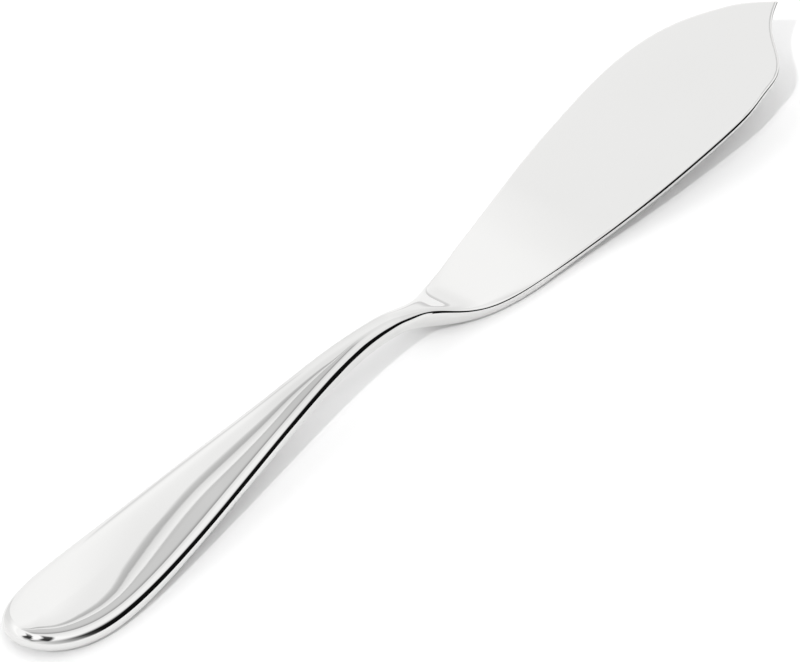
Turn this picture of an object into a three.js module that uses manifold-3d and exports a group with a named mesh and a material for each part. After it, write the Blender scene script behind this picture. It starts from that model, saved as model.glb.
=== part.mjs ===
// Fish serving knife: a flat asymmetric blade on a slim arched neck, with a
// broad spoon-like handle. Two solids: the handle, with a slot in the end of
// its neck, and the blade, whose tang stands in that slot.
// Millimetres, +X from the handle's end to the blade's tip, +Z up, z = 0 is
// the table that the knife lies on.
import * as THREE from 'three';
import { mergeVertices } from 'three/addons/utils/BufferGeometryUtils.js';
import Module from 'manifold-3d';

// ---------------------------------------------------------------- dimensions
const LENGTH = 275;        // handle end to blade tip
const JOINT_X = 126;       // plane of the joint across the neck
const JOINT_GAP = 0.3;     // gap left across the joint for the weld or braze
const TANG_LENGTH = 13;    // how far the tang reaches into the neck
const TANG_WIDTH = 4.0;    // at its root
const TANG_TIP_WIDTH = 3.0;
const TANG_THICKNESS = 1.6;
const SLOT_CLEARANCE = 0.3; // all round the tang
const TABLE_Z = 0;         // the two resting spots dip below it by 0.1 and are flat there
const BLEND = [140.8, 28.8]; // the oval neck turns into a flat plate from here, over this length
// How far in from the rim the plate's rounding reaches
const EDGE_X = [138, 150, 165, 176, 190, 203, 230, 240, 250, 262];
const EDGE_REACH = [0.911, 1.009, 0.45, 0.62, 0.55, 0.5, 0.5, 0.6, 0.75, 0.9];
// Its profile is 1 - inset^inner under the root 1 / outer; near 1.3 it is a chamfer
const PROFILE_X = [165, 176, 190, 203, 230, 240, 250, 262];
const PROFILE_INNER = [3.0, 2.0, 1.5, 1.3, 1.3, 1.5, 2.2, 3.0];
const PROFILE_OUTER = [2.0, 1.7, 1.5, 1.3, 1.3, 1.5, 1.8, 2.0];
const PLATE_X = 190;       // from here to the tip the blade is a flat plate
const PLATE_SLOPE = 0.1342; // its rise per millimetre
const ROLL = 0.028;        // the blade's lean across, its left side lower, reached
const ROLL_X = [138, 198]; // over this length
const ROLL_Y = 4;          // the line that it leans about

// Outline in plan, at distance x from the handle's end: each side lies
// sqrt(x) * g(x) from the axis, which gives the handle its round end.
const LEFT_X = [0, 5, 12, 22, 36, 54, 72, 90, 106, 118, 126, 134, 142, 152, 164, 180, 198, 216, 232, 244, 252, 259, 265.5, 271, 275];
const LEFT_G = [4.1496, 3.6908, 3.16, 2.5082, 1.8259, 1.2373, 0.8221, 0.5212, 0.3618, 0.2969, 0.2755, 0.3002, 0.5321, 0.7584, 0.9769, 1.2042, 1.3591, 1.4225, 1.4223, 1.3277, 1.1856, 0.9818, 0.7154, 0.4031, 0.0462];
const RIGHT_X = [0, 5, 12, 22, 36, 54, 72, 90, 106, 118, 126, 134, 142, 152, 164, 180, 198, 216, 230, 239, 246, 252, 257.5, 263, 269, 275];
const RIGHT_G = [4.1496, 3.6908, 3.16, 2.5082, 1.8259, 1.2373, 0.8221, 0.5212, 0.361, 0.2974, 0.2786, 0.2973, 0.5166, 0.7436, 0.8445, 0.9196, 1.0414, 1.1092, 1.1254, 1.0931, 1.0153, 0.9361, 0.7145, 0.3807, 0.1078, -0.0462];
const END_SHIFT = [1.0, 34.94]; // the round end's lean to the left, and over what length

// Height of the middle surface above the table
const MID_X = [0, 8, 18, 35, 60, 85, 100, 110, 118, 124, 130, 136, 142, 148, 155, 163, 172, 181, 190];
const MID_Z = [3.226, 2.286, 2.028, 3.117, 6.314, 9.529, 11.277, 11.6604, 11.2692, 10.4593, 8.7999, 6.7662, 4.6493, 3.1988, 2.5267, 2.2404, 2.1167, 2.5606, 3.4847];
// Thickness above and below that surface
const THICK_X = [4, 15, 32, 52, 75, 100, 112, 120, 128, 136, 144, 152, 162, 172, 182];
const THICK_UP = [2.736, 2.569, 2.286, 2.014, 2.062, 2.1634, 2.224, 1.9662, 1.5631, 1.2287, 0.8056, 0.6039, 0.4364, 0.45, 0.45];
const THICK_DOWN = [2.03, 2.11, 2.07, 2.061, 2.193, 2.3428, 2.6524, 3.0335, 3.496, 3.9569, 3.5878, 2.8217, 1.8853, 1.35, 1.35];
// Section: 1 - crown * r^2 - (1 - crown) * r^power, under a square root
const SECTION_X = [4, 15, 32, 52, 75, 100, 112, 120, 128, 136, 144, 152, 162];
const POWER = [7.3, 13.0, 12.9, 9.7, 7.2, 4.68, 2.67, 2.43, 2.65, 5.74, 6.97, 8.1, 9.22];
const CROWN = [0.593, 0.358, 0.22, 0.193, 0.12, 0.146, 0.123, 0.094, 0.063, 0.001, 0.037, 0.068, 0.101];
// Width of the band along the rim that holds the closer rows of facets
const RIM_X = [0, 40, 80, 110, 125, 140, 150, 165, 185];
const RIM_W = [5.0, 4.2, 2.7, 2.0, 2.0, 1.7, 1.3, 0.9, 0.9];

// ------------------------------------------------------------------- splines
function spline(xs, ys, endSlope = null) {
  const n = xs.length, h = [], m = new Array(n).fill(0);
  for (let i = 0; i < n - 1; i++) h.push(xs[i + 1] - xs[i]);
  const a = new Array(n).fill(0), b = new Array(n).fill(1), c = new Array(n).fill(0), d = new Array(n).fill(0);
  for (let i = 1; i < n - 1; i++) {
    a[i] = h[i - 1]; b[i] = 2 * (h[i - 1] + h[i]); c[i] = h[i];
    d[i] = 6 * ((ys[i + 1] - ys[i]) / h[i] - (ys[i] - ys[i - 1]) / h[i - 1]);
  }
  if (endSlope !== null) {
    a[n - 1] = h[n - 2]; b[n - 1] = 2 * h[n - 2];
    d[n - 1] = 6 * (endSlope - (ys[n - 1] - ys[n - 2]) / h[n - 2]);
  }
  for (let i = 1; i < n; i++) {
    const w = a[i] / b[i - 1];
    b[i] -= w * c[i - 1]; d[i] -= w * d[i - 1];
  }
  m[n - 1] = d[n - 1] / b[n - 1];
  for (let i = n - 2; i >= 0; i--) m[i] = (d[i] - c[i] * m[i + 1]) / b[i];
  return (x) => {
    let i = 0;
    while (i < n - 2 && x > xs[i + 1]) i++;
    const t = x - xs[i], s = xs[i + 1] - x, k = h[i];
    return (m[i] * s ** 3 + m[i + 1] * t ** 3) / (6 * k)
      + (ys[i] / k - m[i] * k / 6) * s + (ys[i + 1] / k - m[i + 1] * k / 6) * t;
  };
}
const held = (f, xs) => (x) => f(Math.min(Math.max(x, xs[0]), xs[xs.length - 1]));
const leftG = spline(LEFT_X, LEFT_G), rightG = spline(RIGHT_X, RIGHT_G);
const midLow = spline(MID_X, MID_Z, PLATE_SLOPE);
const plateZ = MID_Z[MID_Z.length - 1];
const mid = (x) => (x < PLATE_X ? midLow(x) : plateZ + PLATE_SLOPE * (x - PLATE_X));
const up = held(spline(THICK_X, THICK_UP), THICK_X);
const down = held(spline(THICK_X, THICK_DOWN), THICK_X);
const linear = (xs, ys) => (x) => {
  if (x <= xs[0]) return ys[0];
  for (let i = 1; i < xs.length; i++) {
    if (x <= xs[i]) return ys[i - 1] + (ys[i] - ys[i - 1]) * (x - xs[i - 1]) / (xs[i] - xs[i - 1]);
  }
  return ys[ys.length - 1];
};
const power = held(spline(SECTION_X, POWER), SECTION_X);
const crown = (x) => Math.max(0, held(spline(SECTION_X, CROWN), SECTION_X)(x));
const rim = linear(RIM_X, RIM_W);
const reach = linear(EDGE_X, EDGE_REACH);
const inner = linear(PROFILE_X, PROFILE_INNER), outer = linear(PROFILE_X, PROFILE_OUTER);

const lean = (x) => END_SHIFT[0] * Math.max(0, 1 - x / END_SHIFT[1]) ** 3;
const left = (x) => Math.sqrt(x) * leftG(x) + lean(x);
const right = (x) => -Math.sqrt(x) * rightG(x) + lean(x);

// ---------------------------------------------------------------- the surface
// Each station joins one point of the left outline and one of the right to a
// point of the spine. Near the handle's end the spine points run ahead of the
// outline points, so the rows of facets fan round the end.
const spineX = (x) => x + 8 * Math.exp(-x / 20) * Math.max(0, 1 - x / LENGTH) ** 2;
const smooth = (t) => { const s = Math.min(Math.max(t, 0), 1); return s * s * s * (s * (6 * s - 15) + 10); };

const roll = (x) => ROLL * smooth((x - ROLL_X[0]) / (ROLL_X[1] - ROLL_X[0]));

function stations() {
  const xs = [];
  for (let i = 0; i <= 12; i++) xs.push(23.5 * (1 - Math.cos((Math.PI / 2) * i / 12)));
  const add = (to, n) => { const from = xs[xs.length - 1]; for (let i = 1; i <= n; i++) xs.push(from + (to - from) * i / n); };
  add(110, 18); add(JOINT_X, 6); add(198, 26); add(236, 7); add(251, 5); add(273, 13); add(LENGTH, 4);
  return xs;
}
const slopeOf = (f, x) => { const e = 0.01, a = Math.max(x - e, 1e-4), b = Math.min(x + e, LENGTH); return (f(b) - f(a)) / (b - a); };
const RIM_STEPS = [0, 0.04, 0.15, 0.36, 0.65, 1];
const INNER_STEPS = [0.68, 0.34];

// the section's height at share r of the way from the spine to the rim, as a
// share of the thickness there
function height(x, r, dLeft, dRight) {
  const p = power(x), c = crown(x);
  const sup = Math.sqrt(Math.max(0, 1 - c * r * r - (1 - c) * r ** p));
  const edge = (d) => Math.max(0, 1 - (1 - Math.min(d / reach(x), 1)) ** inner(x)) ** (1 / outer(x));
  const plate = edge(dLeft) * edge(dRight);
  const b = smooth((x - BLEND[0]) / BLEND[1]);
  return b <= 0 ? sup : b >= 1 ? plate : (1 - b) * sup + b * plate;
}

function wholeBody() {
  const xs = stations(), pos = [], rows = [];
  for (const x of xs) {
    const tip = x >= LENGTH - 1e-9;
    const yl = tip ? (left(x) + right(x)) / 2 : left(x), yr = tip ? yl : right(x);
    const sx = Math.min(spineX(x), LENGTH), sy = (yl + yr) / 2;
    const secL = Math.hypot(1, slopeOf(left, x)), secR = Math.hypot(1, slopeOf(right, x));
    const row = [];
    const side = (y, sec, sign) => {
      const w = Math.hypot(x - sx, y - sy), out = [];
      const band = x < 30 ? rim(x) : Math.min(rim(x) * sec, 0.8 * w);
      const share = w > 1e-9 ? Math.min(band / w, 0.8) : 0;
      for (const u of RIM_STEPS) out.push(1 - share * u);
      for (const u of INNER_STEPS) out.push((1 - share) * u);
      return out.map((r) => ({ r, x: sx + (x - sx) * r, y: sy + (y - sy) * r, sign }));
    };
    const L = side(yl, secL, 1), R = side(yr, secR, -1);
    const line = [...L, { r: 0, x: sx, y: sy, sign: 0 }, ...R.reverse()];
    for (const p of line) {
      const dl = (yl - p.y) / secL, dr = (p.y - yr) / secR;
      const h = p.r >= 1 ? 0 : height(sx, p.r, Math.max(dl, 0), Math.max(dr, 0));
      row.push({ x: p.x, y: p.y, z: mid(p.x) - roll(p.x) * (p.y - ROLL_Y), above: h * up(sx), below: h * down(sx) });
    }
    rows.push(row);
  }
  // closed ring per station: along the top from left to right, back along the bottom
  const n = rows[0].length, ring = 2 * n - 2, index = [];
  for (const row of rows) {
    for (const p of row) pos.push(p.x, p.y, p.z + p.above);
    for (let j = n - 2; j > 0; j--) pos.push(row[j].x, row[j].y, row[j].z - row[j].below);
  }
  for (let i = 0; i < rows.length - 1; i++) {
    for (let j = 0; j < ring; j++) {
      const a = i * ring + j, b = i * ring + (j + 1) % ring, c = a + ring, d = b + ring;
      index.push(a, b, c, b, d, c);
    }
  }
  const g = new THREE.BufferGeometry();
  g.setAttribute('position', new THREE.Float32BufferAttribute(pos, 3));
  g.setIndex(index);
  return g;
}

// ------------------------------------------------------------- joins and cuts
const wasm = await Module();
wasm.setup();

function toSolid(geometry) {
  const g = geometry.clone();
  for (const name of Object.keys(g.attributes)) if (name !== 'position') g.deleteAttribute(name);
  const m = mergeVertices(g, 1e-4);
  const p = m.attributes.position.array, idx = m.index.array, tris = [];
  for (let i = 0; i < idx.length; i += 3) {
    const [a, b, c] = [idx[i], idx[i + 1], idx[i + 2]];
    if (a !== b && b !== c && a !== c) tris.push(a, b, c);
  }
  return new wasm.Manifold(new wasm.Mesh({ numProp: 3, vertProperties: new Float32Array(p), triVerts: new Uint32Array(tris) }));
}
function toGeometry(solid) {
  const m = solid.getMesh(), g = new THREE.BufferGeometry();
  g.setAttribute('position', new THREE.Float32BufferAttribute(m.vertProperties, 3));
  g.setIndex([...m.triVerts]);
  g.computeVertexNormals();
  return g;
}
function block(x0, x1, y0, y1, z0, z1) {
  const g = new THREE.BoxGeometry(x1 - x0, y1 - y0, z1 - z0);
  g.translate((x0 + x1) / 2, (y0 + y1) / 2, (z0 + z1) / 2);
  return toSolid(g);
}
// A tapered bar along the neck, from the joint back towards the handle
function bar(length, rootWidth, tipWidth, thickness, ahead) {
  const s = new THREE.Shape();
  s.moveTo(ahead, -rootWidth / 2);
  s.lineTo(ahead, rootWidth / 2);
  s.lineTo(-length + 1, tipWidth / 2);
  s.lineTo(-length, tipWidth / 2 - 0.8);
  s.lineTo(-length, -tipWidth / 2 + 0.8);
  s.lineTo(-length + 1, -tipWidth / 2);
  s.closePath();
  const g = new THREE.ExtrudeGeometry(s, { depth: thickness, bevelEnabled: false });
  g.translate(0, 0, -thickness / 2);
  const fall = Math.atan((mid(JOINT_X) - mid(JOINT_X - TANG_LENGTH)) / TANG_LENGTH);
  g.rotateY(-fall);
  g.translate(JOINT_X, (left(JOINT_X) + right(JOINT_X)) / 2, mid(JOINT_X) - 0.48);
  return toSolid(g);
}

const body = toSolid(wholeBody()).intersect(block(-10, LENGTH + 10, -60, 60, TABLE_Z, 60));
const handleSolid = body
  .intersect(block(-10, JOINT_X - JOINT_GAP / 2, -60, 60, -10, 60))
  .subtract(bar(TANG_LENGTH + SLOT_CLEARANCE, TANG_WIDTH + 2 * SLOT_CLEARANCE, TANG_TIP_WIDTH + 2 * SLOT_CLEARANCE, TANG_THICKNESS + 2 * SLOT_CLEARANCE, 2));
const bladeSolid = body
  .intersect(block(JOINT_X + JOINT_GAP / 2, LENGTH + 10, -60, 60, -10, 60))
  .add(bar(TANG_LENGTH, TANG_WIDTH, TANG_TIP_WIDTH, TANG_THICKNESS, 1));

// ------------------------------------------------------------------ the pieces
const steel = (color) => new THREE.MeshStandardMaterial({ color, metalness: 1, roughness: 0.06 });
const handle = new THREE.Mesh(toGeometry(handleSolid), steel(0xe2e2e0));
handle.name = 'handle';
const blade = new THREE.Mesh(toGeometry(bladeSolid), steel(0xdfdfdd));
blade.name = 'blade';

// origin: under the middle of the whole knife, on the table
const knife = new THREE.Group();
knife.add(handle, blade);
const box = new THREE.Box3().setFromObject(knife);
for (const piece of [handle, blade]) {
  piece.position.set(-(box.min.x + box.max.x) / 2, -(box.min.y + box.max.y) / 2, -box.min.z);
}

export default knife;
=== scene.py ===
import math

import bpy
import numpy as np
from mathutils import Matrix, Vector


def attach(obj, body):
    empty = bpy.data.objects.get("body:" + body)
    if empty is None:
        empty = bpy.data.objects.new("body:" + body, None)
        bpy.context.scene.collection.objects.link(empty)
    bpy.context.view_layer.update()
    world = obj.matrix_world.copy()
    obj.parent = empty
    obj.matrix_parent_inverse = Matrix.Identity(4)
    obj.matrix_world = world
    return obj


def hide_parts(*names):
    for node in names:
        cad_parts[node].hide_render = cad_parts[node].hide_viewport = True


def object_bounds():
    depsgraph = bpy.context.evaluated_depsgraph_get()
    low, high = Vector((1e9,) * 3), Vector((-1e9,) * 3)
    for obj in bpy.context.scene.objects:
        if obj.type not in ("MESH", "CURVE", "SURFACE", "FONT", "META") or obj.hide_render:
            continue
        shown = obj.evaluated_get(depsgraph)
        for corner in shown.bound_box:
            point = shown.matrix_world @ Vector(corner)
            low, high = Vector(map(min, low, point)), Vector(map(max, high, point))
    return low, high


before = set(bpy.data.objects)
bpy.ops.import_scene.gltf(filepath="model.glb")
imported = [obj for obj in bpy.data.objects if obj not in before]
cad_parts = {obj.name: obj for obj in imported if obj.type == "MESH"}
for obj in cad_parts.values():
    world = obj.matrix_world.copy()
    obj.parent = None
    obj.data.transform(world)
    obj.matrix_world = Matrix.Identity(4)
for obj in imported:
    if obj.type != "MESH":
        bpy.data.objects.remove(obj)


def plain(box):
    return [[float(v) for v in corner] for corner in box]


cad_box = plain(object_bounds())

# ------------------------------------------------------------------ the shape
LENGTH = 275.0
JOINT_X = 126.0
LEFT_X = [0, 5, 12, 22, 36, 54, 72, 90, 106, 118, 126, 134, 142, 152, 164, 180, 198, 216, 232, 244, 252, 259, 265.5, 271, 275]
LEFT_G = [4.1496, 3.6908, 3.16, 2.5082, 1.8259, 1.2373, 0.8221, 0.5212, 0.3618, 0.2969, 0.2755, 0.3002, 0.5321, 0.7584, 0.9769, 1.2042, 1.3591, 1.4225, 1.4223, 1.3277, 1.1856, 0.9818, 0.7154, 0.4031, 0.0462]
RIGHT_X = [0, 5, 12, 22, 36, 54, 72, 90, 106, 118, 126, 134, 142, 152, 164, 180, 198, 216, 230, 239, 246, 252, 257.5, 263, 269, 275]
RIGHT_G = [4.1496, 3.6908, 3.16, 2.5082, 1.8259, 1.2373, 0.8221, 0.5212, 0.361, 0.2974, 0.2786, 0.2973, 0.5166, 0.7436, 0.8445, 0.9196, 1.0414, 1.1092, 1.1254, 1.0931, 1.0153, 0.9361, 0.7145, 0.3807, 0.1078, -0.0462]
END_SHIFT = (1.0, 34.94)
MID_X = [0, 8, 18, 35, 60, 85, 100, 110, 118, 124, 130, 136, 142, 148, 155, 163, 172, 181, 190]
MID_Z = [3.226, 2.286, 2.028, 3.117, 6.314, 9.529, 11.277, 11.6604, 11.2692, 10.4593, 8.7999, 6.7662, 4.6493, 3.1988, 2.5267, 2.2404, 2.1167, 2.5606, 3.4847]
PLATE_X, PLATE_SLOPE = 190.0, 0.1342
THICK_X = [4, 15, 32, 52, 75, 100, 112, 120, 128, 136, 144, 152, 162, 172, 182]
THICK_UP = [2.736, 2.569, 2.286, 2.014, 2.062, 2.1634, 2.224, 1.9662, 1.5631, 1.2287, 0.8056, 0.6039, 0.4364, 0.45, 0.45]
THICK_DOWN = [2.03, 2.11, 2.07, 2.061, 2.193, 2.3428, 2.6524, 3.0335, 3.496, 3.9569, 3.5878, 2.8217, 1.8853, 1.35, 1.35]
SECTION_X = [4, 15, 32, 52, 75, 100, 112, 120, 128, 136, 144, 152, 162]
POWER = [7.3, 13.0, 12.9, 9.7, 7.2, 4.68, 2.67, 2.43, 2.65, 5.74, 6.97, 8.1, 9.22]
CROWN = [0.593, 0.358, 0.22, 0.193, 0.12, 0.146, 0.123, 0.094, 0.063, 0.001, 0.037, 0.068, 0.101]
BLEND = (140.8, 28.8)
EDGE_X = [138, 150, 165, 176, 190, 203, 230, 240, 250, 262]
EDGE_REACH = [0.911, 1.009, 0.45, 0.62, 0.55, 0.5, 0.5, 0.6, 0.75, 0.9]
# its profile is 1 - inset^inner under the root 1 / outer; near 1.3 it is a chamfer
PROFILE_X = [165, 176, 190, 203, 230, 240, 250, 262]
PROFILE_INNER = [3.0, 2.0, 1.5, 1.3, 1.3, 1.5, 2.2, 3.0]
PROFILE_OUTER = [2.0, 1.7, 1.5, 1.3, 1.3, 1.5, 1.8, 2.0]
# The blade leans this much across, its left side lower
ROLL, ROLL_X, ROLL_Y = 0.028, (138.0, 198.0), 4.0


def spline(xs, ys, end_slope=None, hold=False):
    """Natural cubic spline through the points, with an optional end slope."""
    xs = np.asarray(xs, float)
    ys = np.asarray(ys, float)
    n = len(xs)
    h = np.diff(xs)
    A = np.eye(n)
    d = np.zeros(n)
    for i in range(1, n - 1):
        A[i, i - 1:i + 2] = h[i - 1], 2 * (h[i - 1] + h[i]), h[i]
        d[i] = 6 * ((ys[i + 1] - ys[i]) / h[i] - (ys[i] - ys[i - 1]) / h[i - 1])
    if end_slope is not None:
        A[-1, -2:] = h[-1], 2 * h[-1]
        d[-1] = 6 * (end_slope - (ys[-1] - ys[-2]) / h[-1])
    m = np.linalg.solve(A, d)

    def f(x):
        x = np.asarray(x, float)
        if hold:
            x = np.clip(x, xs[0], xs[-1])
        i = np.clip(np.searchsorted(xs, x, side="right") - 1, 0, n - 2)
        t, s, k = x - xs[i], xs[i + 1] - x, h[i]
        return ((m[i] * s ** 3 + m[i + 1] * t ** 3) / (6 * k)
                + (ys[i] / k - m[i] * k / 6) * s + (ys[i + 1] / k - m[i + 1] * k / 6) * t)
    return f


left_g, right_g = spline(LEFT_X, LEFT_G), spline(RIGHT_X, RIGHT_G)
mid_low = spline(MID_X, MID_Z, PLATE_SLOPE)
up = spline(THICK_X, THICK_UP, hold=True)
down = spline(THICK_X, THICK_DOWN, hold=True)
power = spline(SECTION_X, POWER, hold=True)
crown_raw = spline(SECTION_X, CROWN, hold=True)


def lean(x):
    return END_SHIFT[0] * np.clip(1 - x / END_SHIFT[1], 0, None) ** 3


def left(x):
    return np.sqrt(np.clip(x, 0, None)) * left_g(x) + lean(x)


def right(x):
    return -np.sqrt(np.clip(x, 0, None)) * right_g(x) + lean(x)


def mid(x):
    return np.where(x < PLATE_X, mid_low(np.minimum(x, PLATE_X)), MID_Z[-1] + PLATE_SLOPE * (x - PLATE_X))


def smootherstep(t):
    t = np.clip(t, 0, 1)
    return t ** 3 * (t * (6 * t - 15) + 10)


def spine_x(x):
    return np.minimum(x + 8 * np.exp(-x / 20) * np.clip(1 - x / LENGTH, 0, None) ** 2, LENGTH)


def slope_of(f, x):
    a, b = np.maximum(x - 0.01, 1e-4), np.minimum(x + 0.01, LENGTH)
    return (f(b) - f(a)) / np.maximum(b - a, 1e-6)


def roll(x):
    return ROLL * smootherstep((x - ROLL_X[0]) / (ROLL_X[1] - ROLL_X[0]))


def surface(x, w):
    """Point of the skin at station x; w runs once round the section: from the
    right rim (0) over the top to the left rim (pi) and back below (2 pi)."""
    r = -np.cos(w)
    below = np.sin(w) < 0
    yl, yr = left(x), right(x)
    sx, sy = spine_x(x), (yl + yr) / 2
    ar = np.abs(r)
    px = sx + (x - sx) * ar
    py = sy + (np.where(r > 0, yl, yr) - sy) * ar
    k = np.clip(crown_raw(sx), 0, 1)
    q = np.sqrt(np.clip(1 - k * ar ** 2 - (1 - k) * ar ** power(sx), 0, 1))
    sec_l, sec_r = np.hypot(1, slope_of(left, x)), np.hypot(1, slope_of(right, x))

    def edge(d):
        inset = 1 - np.clip(d / np.interp(sx, EDGE_X, EDGE_REACH), 0, 1)
        inner, outer = np.interp(sx, PROFILE_X, PROFILE_INNER), np.interp(sx, PROFILE_X, PROFILE_OUTER)
        return np.clip(1 - inset ** inner, 0, 1) ** (1 / outer)
    plate = edge((yl - py) / sec_l) * edge((py - yr) / sec_r)
    b = smootherstep((sx - BLEND[0]) / BLEND[1])
    h = (1 - b) * q + b * plate
    z = mid(px) + np.where(below, -down(sx), up(sx)) * h - roll(px) * (py - ROLL_Y)
    return np.stack([px, py, z], -1)


def normals(x, w):
    """Outward unit normals, from small steps along and round the section."""
    ex, ew = 0.004, 2e-3
    lo, hi = np.maximum(x - ex, 0.003), np.minimum(x + ex, LENGTH - 0.002)
    lo = np.minimum(lo, hi - ex)
    a = surface(hi, w) - surface(lo, w)
    xc = (lo + hi) / 2
    b = surface(xc, w + ew) - surface(xc, w - ew)
    n = np.cross(a, b)
    return n / np.maximum(np.linalg.norm(n, axis=-1, keepdims=True), 1e-12)


# The frame's origin is under the middle of the CAD model's box
_x = np.linspace(0, LENGTH, 20001)
SHIFT_Y = (left(_x).max() + right(_x).min()) / 2


def to_frame(p):
    """Station millimetres to the frame's metres, inside the CAD model's box."""
    q = (np.asarray(p, float) - (LENGTH / 2, SHIFT_Y, 0)) / 1000
    return np.clip(q, cad_box[0], cad_box[1])


# ------------------------------------------------------------- the two pieces
COLUMNS = 104                      # round each face, from rim to rim


def ring_angles():
    w = np.linspace(0, math.pi, COLUMNS + 1)
    return np.concatenate([w, math.pi + w[1:-1]])


TANG = dict(length=13.0, root=4.0, tip=3.0, thickness=1.6)


def tang_loops(extra, n):
    """Loops of n points round the tang, from the joint back into the neck."""
    fall = math.atan((float(mid(JOINT_X)) - float(mid(JOINT_X - TANG["length"]))) / TANG["length"])
    y0 = float(left(JOINT_X) + right(JOINT_X)) / 2
    z0 = float(mid(JOINT_X)) - 0.48
    loops = []
    reach = TANG["length"] + extra
    for t, share in ((0, 0.0), (reach - 1, 1.0), (reach, 1.0)):
        half_y = (TANG["root"] + (TANG["tip"] - TANG["root"]) * share) / 2 + extra
        if t == reach:
            half_y -= 0.8
        half_z = TANG["thickness"] / 2 + extra
        # corners in the section's own order: from the right side over the top
        ang = ring_angles()
        c, s = -np.cos(ang), np.sin(ang)
        k = np.minimum(1 / np.maximum(np.abs(c), 1e-9), 1 / np.maximum(np.abs(s), 1e-9))
        yy, zz = c * k * half_y, s * k * half_z
        x = -t * math.cos(fall) - zz * math.sin(fall)
        z = -t * math.sin(fall) + zz * math.cos(fall)
        if t == 0:
            z = zz / math.cos(fall)
            x = np.zeros(n)
        loops.append(np.stack([JOINT_X + x, y0 + yy, z0 + z], -1))
    return loops


def build(name, xs, pole_at_start, slot_extra):
    """A closed mesh from rows of stations, capped at the joint by a ring that
    runs in to the tang or its slot."""
    w = ring_angles()
    n = len(w)
    verts, norms, faces, rows = [], [], [], []
    for i, x in enumerate(xs):
        at = np.full(n, x)
        p, nn = surface(at, w), normals(at, w)
        p[:, 2] = np.maximum(p[:, 2], 0.0)
        if i == 0 and pole_at_start:
            # the section at the handle's end is folded on itself: its left
            # half lies on its right half
            half = COLUMNS // 2
            row = [0] * n
            for j in range(0, half + 1):
                row[j] = len(verts)
                row[COLUMNS - j] = len(verts)
                m = nn[j] + nn[COLUMNS - j]
                verts.append(p[j]); norms.append(m / np.linalg.norm(m))
            for j in range(1, half + 1):
                a, b = n - j, COLUMNS + j
                row[a] = row[b] = len(verts)
                m = nn[a] + nn[b]
                verts.append(p[a]); norms.append(m / np.linalg.norm(m))
            row[n - COLUMNS] = row[COLUMNS] if COLUMNS * 2 == n else row[n - COLUMNS]
            # both rims meet at the outline's end point
            row[COLUMNS] = row[0]
        elif i == len(xs) - 1 and not pole_at_start:
            row = [len(verts)] * n
            verts.append(p.mean(0)); norms.append(np.array([1.0, 0, 0]))
        else:
            row = list(range(len(verts), len(verts) + n))
            verts.extend(p); norms.extend(nn)
        rows.append(row)
    for i in range(len(rows) - 1):
        a, b = rows[i], rows[i + 1]
        for j in range(n):
            k = (j + 1) % n
            # where the fold turns, the diagonals meet in the fold's own corner
            if i == 0 and pole_at_start and k in (COLUMNS // 2, n - COLUMNS // 2):
                faces += [[a[j], b[j], a[k]], [a[k], b[j], b[k]]]
                continue
            if i == 0 and pole_at_start and j in (COLUMNS // 2, n - COLUMNS // 2):
                faces += [[a[j], b[j], b[k]], [a[j], b[k], a[k]]]
                continue
            quad = []
            for v in (a[j], b[j], b[k], a[k]):
                if v not in quad:
                    quad.append(v)
            if len(quad) > 2:
                faces.append(quad)
    skin = len(faces)
    # the joint's face and the tang or slot
    end = rows[-1] if pole_at_start else rows[0]
    inner = []
    for loop in tang_loops(slot_extra, n):
        inner.append(list(range(len(verts), len(verts) + n)))
        verts.extend(loop); norms.extend(np.zeros((n, 3)))
    chain = [end] + inner
    for a, b in zip(chain[:-1], chain[1:]):
        for j in range(n):
            k = (j + 1) % n
            faces.append([a[j], b[j], b[k], a[k]] if pole_at_start else [a[k], b[k], b[j], a[j]])
    centre = len(verts)
    verts.append(np.mean([verts[v] for v in inner[-1]], axis=0)); norms.append(np.zeros(3))
    for j in range(n):
        k = (j + 1) % n
        faces.append([inner[-1][j], centre, inner[-1][k]] if pole_at_start else [inner[-1][k], centre, inner[-1][j]])
    me = bpy.data.meshes.new(name)
    me.from_pydata([tuple(v) for v in to_frame(verts)], [], faces)
    me.polygons.foreach_set("use_smooth", [i < skin for i in range(len(me.polygons))])
    me.update()
    # the skin's own normals, so that both pieces shade as one at the joint
    loops = np.zeros((len(me.loops), 3))
    vi = np.zeros(len(me.loops), int)
    me.loops.foreach_get("vertex_index", vi)
    nrm = np.asarray(norms)
    first = int(me.polygons[skin].loop_start)
    loops[:first] = nrm[vi[:first]]
    me.normals_split_custom_set([tuple(v) for v in loops])
    ob = bpy.data.objects.new(name, me)
    bpy.context.scene.collection.objects.link(ob)
    return ob


def stations_handle():
    t = np.linspace(0, math.pi / 2, 74)
    first = 24 * (1 - np.cos(t))
    rest = np.linspace(24, JOINT_X, 190)[1:]
    return np.concatenate([first, rest])


def stations_blade():
    a = np.linspace(JOINT_X, 198, 145)
    b = np.linspace(198, 240, 43)[1:]
    c = np.linspace(240, 271.5, 64)[1:]
    d = LENGTH - 3.5 * np.linspace(1, 0, 25)[1:] ** 1.6
    return np.concatenate([a, b, c, d])


handle = build("handle_surface", stations_handle(), True, 0.3)
blade = build("blade_surface", stations_blade(), False, 0.0)


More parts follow.
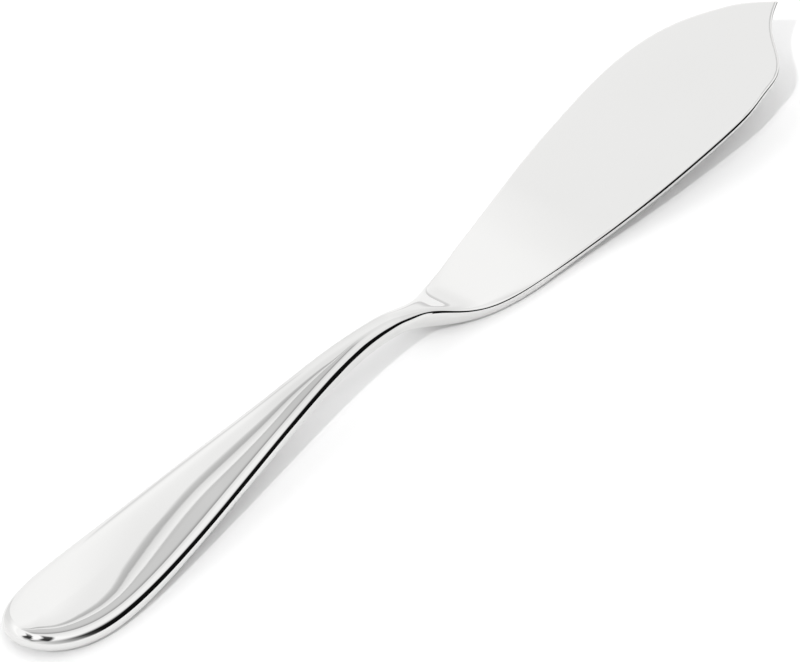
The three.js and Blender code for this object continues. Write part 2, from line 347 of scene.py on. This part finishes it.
# ------------------------------------------------------------------- node help
class Graph:
    """Small arithmetic on shader sockets."""

    def __init__(self, tree):
        self.tree, self.nodes, self.links = tree, tree.nodes, tree.links

    def math(self, op, *args, clamp=False):
        node = self.nodes.new("ShaderNodeMath")
        node.operation = op
        node.use_clamp = clamp
        for i, a in enumerate(args):
            if isinstance(a, (int, float)):
                node.inputs[i].default_value = a
            else:
                self.links.new(a, node.inputs[i])
        return node.outputs[0]

    def add(self, a, b): return self.math("ADD", a, b)
    def sub(self, a, b): return self.math("SUBTRACT", a, b)
    def mul(self, a, b): return self.math("MULTIPLY", a, b)
    def div(self, a, b): return self.math("DIVIDE", a, b)
    def pow(self, a, b): return self.math("POWER", a, b)
    def min(self, a, b): return self.math("MINIMUM", a, b)
    def max(self, a, b): return self.math("MAXIMUM", a, b)

    def step(self, a, lo, hi, y0=0.0, y1=1.0, smooth=True):
        node = self.nodes.new("ShaderNodeMapRange")
        node.clamp = True
        node.interpolation_type = "SMOOTHSTEP" if smooth else "LINEAR"
        self.links.new(a, node.inputs["Value"])
        for name, v in (("From Min", lo), ("From Max", hi), ("To Min", y0), ("To Max", y1)):
            node.inputs[name].default_value = v
        return node.outputs[0]

    def curve(self, a, points):
        """Piecewise linear function through (x, y) points."""
        total = points[0][1]
        for (x0, y0), (x1, y1) in zip(points[:-1], points[1:]):
            if abs(y1 - y0) > 1e-9:
                total = self.add(self.step(a, x0, x1, 0.0, y1 - y0, smooth=False), total)
        return total

    def mix(self, t, a, b):
        return self.add(self.mul(self.sub(1.0, t), a), self.mul(t, b))


def lin(v):
    """Linear light of an 8-bit display grey."""
    v = v / 255.0
    return v / 12.92 if v <= 0.04045 else ((v + 0.055) / 1.055) ** 2.4


# ------------------------------------------------------------------- materials
def steel(name, tint, seed, lengthwise):
    """Polished stainless steel: a mirror with faint polishing lines, a few
    finer scratches and very slight waviness."""
    mat = bpy.data.materials.new(name)
    mat.use_nodes = True
    tree = mat.node_tree
    g = Graph(tree)
    bsdf = tree.nodes["Principled BSDF"]
    bsdf.inputs["Metallic"].default_value = 1.0
    coord = tree.nodes.new("ShaderNodeTexCoord")

    def noise(scale, stretch, detail, offset, rough=0.5):
        m = tree.nodes.new("ShaderNodeMapping")
        m.inputs["Scale"].default_value = stretch
        m.inputs["Location"].default_value = (offset, offset * 0.7, offset * 1.3)
        tree.links.new(coord.outputs["Object"], m.inputs["Vector"])
        nz = tree.nodes.new("ShaderNodeTexNoise")
        nz.inputs["Scale"].default_value = scale
        nz.inputs["Detail"].default_value = detail
        nz.inputs["Roughness"].default_value = rough
        tree.links.new(m.outputs[0], nz.inputs["Vector"])
        return nz.outputs["Fac"]

    along = (1.0, 16.0, 16.0) if lengthwise else (16.0, 1.0, 16.0)
    lines = noise(170.0, along, 6.0, seed, 0.65)
    fine = noise(420.0, (1.4, 9.0, 9.0), 3.0, seed + 3.1, 0.6)
    cloud = noise(26.0, (1.0, 1.0, 1.0), 3.0, seed + 7.7)
    # colour: a hardly visible drift in tone, and the lines a little darker
    ramp = tree.nodes.new("ShaderNodeValToRGB")
    ramp.color_ramp.elements[0].position = 0.3
    ramp.color_ramp.elements[1].position = 0.7
    ramp.color_ramp.elements[0].color = (tint[0] * 0.985, tint[1] * 0.985, tint[2] * 0.982, 1)
    ramp.color_ramp.elements[1].color = (*tint, 1)
    tone = g.add(g.mul(cloud, 0.7), g.mul(lines, 0.3))
    tree.links.new(tone, ramp.inputs[0])
    # painted shade: the base colour is made a little darker along the raised neck, standing in for the dimmer
    # reflection there
    sep = tree.nodes.new("ShaderNodeSeparateXYZ")
    tree.links.new(coord.outputs["Object"], sep.inputs[0])
    along_x = g.add(g.mul(sep.outputs[0], 1000.0), LENGTH / 2)
    neck_painted_shade = g.mul(g.step(along_x, 74, 90, 0.0, 0.08), g.step(along_x, 120, 128, 1.0, 0.0))
    scale = tree.nodes.new("ShaderNodeVectorMath")
    scale.operation = "SCALE"
    tree.links.new(ramp.outputs[0], scale.inputs[0])
    tree.links.new(g.sub(1.0, neck_painted_shade), scale.inputs["Scale"])
    tree.links.new(scale.outputs[0], bsdf.inputs["Base Color"])
    # roughness: nearly nothing, a touch more along the lines and in the clouds
    rough = g.add(0.014, g.add(g.step(lines, 0.5, 0.8, 0.0, 0.018), g.step(cloud, 0.35, 0.75, 0.0, 0.010)))
    tree.links.new(rough, bsdf.inputs["Roughness"])
    bump = tree.nodes.new("ShaderNodeBump")
    bump.inputs["Strength"].default_value = 0.02
    bump.inputs["Distance"].default_value = 0.00001
    tree.links.new(g.add(g.mul(lines, 0.6), g.mul(fine, 0.4)), bump.inputs["Height"])
    tree.links.new(bump.outputs[0], bsdf.inputs["Normal"])
    return mat


handle.data.materials.append(steel("handle_polished_steel", (0.755, 0.753, 0.748), 0.0, True))
blade.data.materials.append(steel("blade_polished_steel", (0.755, 0.753, 0.748), 11.0, True))
for piece, node, slot in ((handle, "handle", "handle_steel"), (blade, "blade", "blade_steel")):
    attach(piece, "root")
    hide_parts(node)

# --------------------------------------------------------------------- the table
bpy.ops.mesh.primitive_plane_add(size=6.0, location=(0, 0, -0.00003))
floor = bpy.context.object
floor.name = "floor"
fm = bpy.data.materials.new("pale_table")
fm.use_nodes = True
fb = fm.node_tree.nodes["Principled BSDF"]
fb.inputs["Base Color"].default_value = (0.90, 0.90, 0.90, 1)
fb.inputs["Roughness"].default_value = 0.9
fb.inputs["Specular IOR Level"].default_value = 0.0
floor.data.materials.append(fm)

# ---------------------------------------------------------------------- camera
cam_data = bpy.data.cameras.new("camera")
cam_data.sensor_fit = "HORIZONTAL"
cam_data.sensor_width = 36.0
cam_data.lens = 4474.318 / 800 * 36.0
cam_data.clip_start = 0.05
cam_data.clip_end = 50
cam = bpy.data.objects.new("camera", cam_data)
bpy.context.scene.collection.objects.link(cam)
ELEV, HEAD = math.radians(38.0), math.radians(51.96985)
right_v = Vector((math.cos(HEAD), -math.sin(HEAD), 0))
ground = Vector((math.sin(HEAD), math.cos(HEAD), 0))
back_v = -ground * math.cos(ELEV) + Vector((0, 0, math.sin(ELEV)))
up_v = ground * math.sin(ELEV) + Vector((0, 0, math.cos(ELEV)))
HALF_PIXEL = 0.5 / 4474.318
target = Vector(((132.536 - LENGTH / 2) / 1000, (4.790 - float(SHIFT_Y)) / 1000, 0)) + (up_v - right_v) * HALF_PIXEL
place = target + back_v * 1.0
m = Matrix.Identity(4)
for i, v in enumerate((right_v, up_v, back_v, place)):
    for j in range(3):
        m[j][i] = v[j]
cam.matrix_world = m
bpy.context.scene.camera = cam

# ---------------------------------------------------------------- studio light
# A white tent all round, seen only through its reflections: the angle psi goes
# from the far side (0) overhead (90) to the near side (180), across the knife,
# and X along it from the handle's side (-1) to the blade's (1).
SPEC = 0.750
world = bpy.data.worlds.new("studio")
bpy.context.scene.world = world
world.use_nodes = True
wt = world.node_tree
wt.nodes.clear()
g = Graph(wt)
coord = wt.nodes.new("ShaderNodeTexCoord")
sep = wt.nodes.new("ShaderNodeSeparateXYZ")
wt.links.new(coord.outputs["Generated"], sep.inputs[0])
X, Y, Z = sep.outputs
psi = g.mul(g.math("ARCTAN2", Z, Y), 180 / math.pi)
# the tent's smooth shading across
TENT = [(-40, 245), (-20, 244), (-10, 242), (0, 240), (10, 238.5), (20, 238), (30, 240), (38, 243), (46, 244.5), (49, 244.5),
        (50.5, 243), (51.7, 241), (52.6, 239), (53.6, 236.5), (54.3, 235), (55, 234.2), (56.1, 234), (60, 236), (72, 238),
        (84, 242), (100, 239), (114, 234), (150, 234), (175, 238)]
# the seams between its panels, next to the brightest one
SEAMS = [(56.05, 233), (56.30, 193), (56.93, 174), (57.08, 218), (57.6, 230), (58.10, 241), (58.30, 192),
         (58.9, 201), (62.0, 201), (63.4, 193), (65.6, 162), (67.4, 160), (68.3, 225), (72, 230), (78, 238), (84, 242)]


def tent_at(p):
    return float(np.interp(p, [q[0] for q in TENT], [lin(q[1]) for q in TENT])) / SPEC


level = g.curve(psi, [(p, lin(v) / SPEC) for p, v in TENT])
clear = g.curve(X, [(0.30, 0.0), (0.385, 1.0), (0.60, 1.0), (0.65, 0.45), (0.70, 0.2), (0.78, 0.0)])
# they bend a little, clear of the directions that the blade's near corner reflects
bend = g.curve(X, [(0.470, 0.0), (0.503, 0.35), (0.535, 0.35), (0.575, 0.0)])
seams = g.curve(g.sub(psi, bend), [(55.9, 0.0)] + [(p, lin(v) / SPEC - tent_at(p)) for p, v in SEAMS[1:-1]] + [(84, 0.0)])
level = g.add(level, g.mul(clear, seams))


def band(centre, half, depth):
    """Darkening round a line of psi that depends on X: lists of (X, value)."""
    off = g.math("ABSOLUTE", g.div(g.sub(psi, g.curve(X, centre)), g.curve(X, half)))
    return g.mul(g.step(off, 0.55, 1.4, 1.0, 0.0), g.curve(X, depth))


# the brighter panel behind the handle, and two dark stands in front of it
glow = g.mul(g.mul(g.step(psi, 42, 52), g.step(psi, 112, 122, 1.0, 0.0)), g.mul(g.step(X, 0.30, 0.42, 1.0, 0.0), g.step(X, -0.85, -0.55)))
level = g.mul(level, g.add(1.0, g.mul(glow, 0.11)))
first = band([(-0.8, 92), (-0.7, 84), (-0.6, 79), (-0.5, 81), (-0.3, 80), (-0.2, 79), (0.0, 75.5), (0.1, 72), (0.2, 68)],
             [(-0.8, 26), (-0.7, 15), (-0.6, 13), (-0.5, 11.5), (-0.4, 9.5), (-0.3, 7), (-0.2, 5), (0.0, 4.5), (0.15, 3.5)],
             [(-0.97, 0.0), (-0.9, 0.25), (-0.8, 0.52), (-0.7, 0.82), (-0.6, 0.94), (-0.5, 0.96), (-0.2, 0.96), (0.0, 0.82), (0.1, 0.62),
              (0.15, 0.40), (0.20, 0.18), (0.30, 0.0)])
second = band([(-0.5, 109), (-0.4, 112), (-0.3, 109.5), (-0.2, 105.5), (-0.1, 102), (0.0, 99), (0.05, 96.7), (0.1, 94), (0.15, 91.7), (0.2, 89),
               (0.25, 86), (0.3, 82.5), (0.35, 79.5), (0.45, 76)],
              [(-0.4, 11), (-0.2, 10), (-0.1, 8), (0.0, 7.3), (0.1, 6.5), (0.25, 5.5), (0.35, 5)],
              [(-0.97, 0.0), (-0.9, 0.2), (-0.7, 0.55), (-0.5, 0.55), (-0.4, 0.76), (-0.3, 0.92), (-0.2, 0.97), (0.1, 0.95), (0.2, 0.93),
               (0.25, 0.90), (0.3, 0.82), (0.345, 0.55), (0.375, 0.08), (0.39, 0.0)])
level = g.mul(level, g.mul(g.sub(1.0, first), g.sub(1.0, second)))
# low down behind the handle the tent is greyer, with an edge of its own
grey = g.curve(X, [(-0.9, 0.0), (-0.5, 0.01), (-0.25, 0.04), (0.0, 0.07), (0.15, 0.10), (0.25, 0.155), (0.445, 0.165), (0.455, 0.22),
                   (0.470, 0.22), (0.482, 0.0)])
grey = g.mul(grey, g.mul(g.step(psi, 33, 46, 1.0, 0.0), g.step(psi, -60, -40)))
rim = g.mul(g.curve(X, [(0.44, 0.0), (0.46, 0.20), (0.50, 0.18), (0.53, 0.08), (0.56, 0.0)]), g.step(psi, -6, 8, 1.0, 0.0))
grey = g.max(grey, g.mul(rim, g.step(psi, -60, -40)))
level = g.mul(level, g.sub(1.0, grey))
# a greyer foot of the tent, low on the far side
foot = g.mul(g.curve(X, [(0.56, 0.03), (0.60, 0.13), (0.66, 0.18), (0.73, 0.14), (0.79, 0.0)]), g.step(psi, 2, 14, 1.0, 0.0))
foot = g.mul(foot, g.mul(g.step(psi, -62, -40, 0.4, 1.0), g.step(psi, -95, -85)))
level = g.mul(level, g.sub(1.0, foot))
# the tent turns greyer towards the blade's end, and has a hem at the horizon
level = g.mul(level, g.curve(X, [(0.82, 1.0), (0.85, 0.965), (0.88, 0.93), (0.90, 0.875), (0.92, 0.84)]))
hem = g.mul(g.mul(g.step(Z, 0.010, 0.045, 0.26, 0.0), g.step(Z, -0.03, -0.01)), g.step(X, 0.72, 0.82))
level = g.mul(level, g.sub(1.0, hem))
# the dark opening on the near side
upper = g.step(g.div(g.sub(psi, g.curve(X, [(0.0, 120), (0.30, 115), (0.47, 114), (0.50, 113), (0.54, 112.5), (0.57, 115), (0.60, 115.5),
                                            (0.63, 116.3), (0.66, 115.8), (0.69, 115), (0.72, 117), (0.80, 118), (0.88, 112)])),
                     g.curve(X, [(0.46, 11.0), (0.50, 7.0), (0.56, 2.0)])), -1.0, 1.5)
low = g.curve(X, [(-1.0, 165), (0.0, 172), (0.3, 182), (0.60, 186), (0.645, 181), (0.655, 173), (0.68, 168), (0.70, 163),
                  (0.765, 157), (0.815, 152), (0.850, 152), (0.875, 157), (0.92, 157)])
soft = g.curve(X, [(0.15, 12.0), (0.47, 6.0), (0.52, 1.5)])
lower = g.step(g.div(g.sub(low, psi), soft), -1.0, 1.0)
much = g.curve(X, [(-0.95, 0.0), (-0.75, 0.2), (-0.5, 0.38), (-0.25, 0.48), (0.0, 0.72), (0.15, 0.95), (0.3, 1.0), (0.925, 1.0), (0.955, 0.0)])
dark = g.mul(g.mul(upper, lower), g.mul(much, g.step(Z, -0.03, -0.01)))
level = g.mix(dark, level, lin(14) / SPEC)
bg = wt.nodes.new("ShaderNodeBackground")
wt.links.new(level, bg.inputs["Color"])
bg.inputs["Strength"].default_value = 1.0
out = wt.nodes.new("ShaderNodeOutputWorld")
wt.links.new(bg.outputs[0], out.inputs[0])

# a weak key from the handle's side, and a soft light over the near side; both
# light the table and stay out of the reflections
for name, energy, angle, towards in (("key", 1.10, 3.0, (-1.052, -0.2476, 1.0)), ("soft_front", 0.92, 90.0, (0, -0.6, 0.8))):
    data = bpy.data.lights.new(name, "SUN")
    data.energy = energy
    data.angle = math.radians(angle)
    lamp = bpy.data.objects.new(name, data)
    bpy.context.scene.collection.objects.link(lamp)
    lamp.rotation_euler = Vector(towards).to_track_quat("Z", "Y").to_euler()
    lamp.visible_glossy = False

bpy.context.scene.view_settings.view_transform = "Standard"
bpy.context.scene.view_settings.look = "None"
bpy.context.scene.view_settings.exposure = 0.0
bpy.context.scene.view_settings.gamma = 1.0
